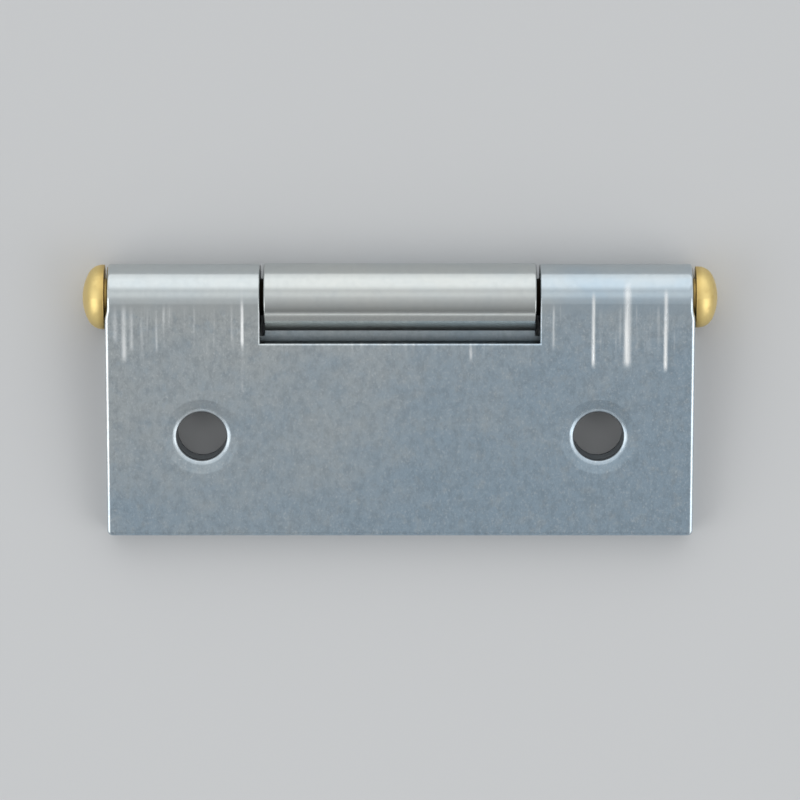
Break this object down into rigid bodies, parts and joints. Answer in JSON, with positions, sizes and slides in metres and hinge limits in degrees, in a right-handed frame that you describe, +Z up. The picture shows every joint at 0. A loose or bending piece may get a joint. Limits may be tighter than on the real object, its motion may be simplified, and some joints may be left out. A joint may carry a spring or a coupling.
{
  "type": "narrow hinge",
  "caption": "Narrow butt hinge with screw-on sheet steel leaves, knuckles rolled from the sheet and a domed brass rivet pin.",
  "frame": {"origin": "under the middle of the closed hinge, at the level of the rear leaf's outer face", "axes": "+X along the pin, +Y from the leaves' free edges towards the knuckles, +Z up out of the front leaf"},
  "size_m": [0.0432, 0.0186, 0.0046],
  "materials": {
    "zinc_plated_steel": "blue-grey zinc plate, satin, with a fine grain across the pin and faint cloudy patches",
    "brass": "plain drawn brass, smooth domes"
  },
  "bodies": {
    "rear": {"rear_leaf": "zinc_plated_steel"},
    "front": {"front_leaf": "zinc_plated_steel", "hinge_pin": "brass"}
  },
  "joints": [
    {"name": "leaf_swing", "type": "hinge", "parent": "rear", "child": "front", "pos_m": [0, 0.00704, 0.00229], "axis": [-1, 0, 0], "range_deg": [0, 285]}
  ]
}
